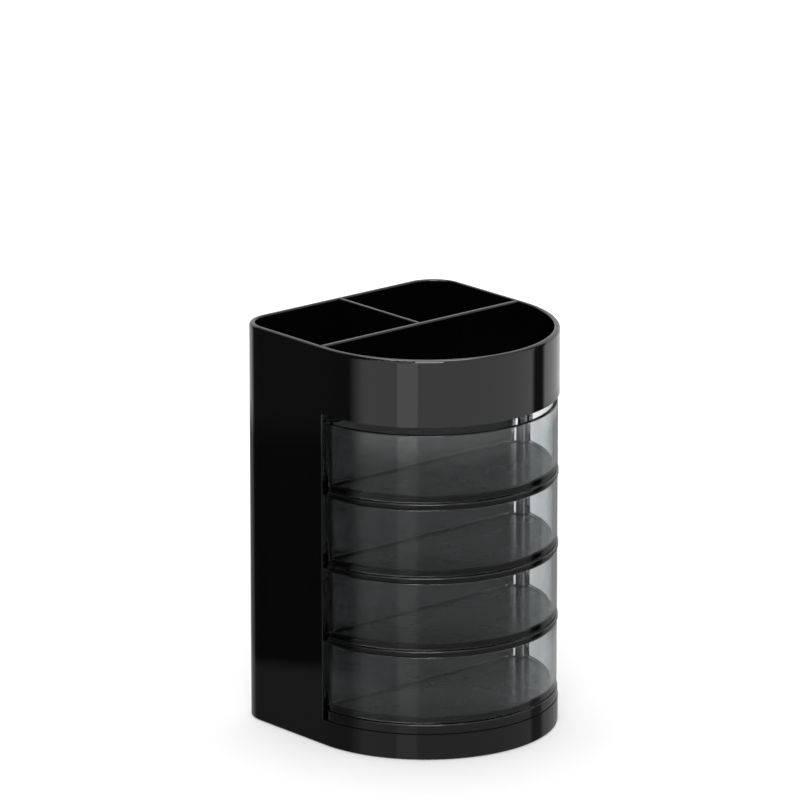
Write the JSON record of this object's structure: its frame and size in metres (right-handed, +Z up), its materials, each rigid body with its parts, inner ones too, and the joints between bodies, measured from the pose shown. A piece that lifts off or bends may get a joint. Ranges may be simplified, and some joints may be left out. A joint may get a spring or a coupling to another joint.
{
  "type": "rotating desk organizer with drawers",
  "caption": "Round-fronted desk organizer with deep pen compartments, a shallow front tray and a stack of clear half-moon drawers that swing out on an upright rod.",
  "frame": {"origin": "middle of the footprint, on the surface it stands on", "axes": "+Z up, the round front with the drawers faces -Y, +X is the hinge rod's side"},
  "size_m": [0.09, 0.091, 0.1385],
  "materials": {
    "black_plastic": "glossy",
    "smoke_plastic": "clear smoke-grey moulded styrene",
    "steel_rod": "satin"
  },
  "bodies": {
    "housing": {"housing_shell": "black_plastic", "cross_divider": "black_plastic", "centre_divider": "black_plastic", "base_plate": "black_plastic", "tray_floor": "black_plastic", "bay_floor": "black_plastic", "shelf_lower": "black_plastic", "shelf_middle": "black_plastic", "shelf_upper": "black_plastic", "hinge_rod": "steel_rod"},
    "drawer_bottom": {"drawer_bottom": "smoke_plastic"},
    "drawer_lower": {"drawer_lower": "smoke_plastic"},
    "drawer_upper": {"drawer_upper": "smoke_plastic"},
    "drawer_top": {"drawer_top": "smoke_plastic"}
  },
  "joints": [
    {"name": "drawer_bottom_swing", "type": "hinge", "parent": "housing", "child": "drawer_bottom", "pos_m": [0.04088, -0.0036, 0.0243], "axis": [0, 0, 1], "range_deg": [0, 95]},
    {"name": "drawer_lower_swing", "type": "hinge", "parent": "housing", "child": "drawer_lower", "pos_m": [0.04088, -0.0036, 0.0499], "axis": [0, 0, 1], "range_deg": [0, 95]},
    {"name": "drawer_upper_swing", "type": "hinge", "parent": "housing", "child": "drawer_upper", "pos_m": [0.04088, -0.0036, 0.0755], "axis": [0, 0, 1], "range_deg": [0, 95]},
    {"name": "drawer_top_swing", "type": "hinge", "parent": "housing", "child": "drawer_top", "pos_m": [0.04088, -0.0036, 0.1011], "axis": [0, 0, 1], "range_deg": [0, 95]}
  ]
}
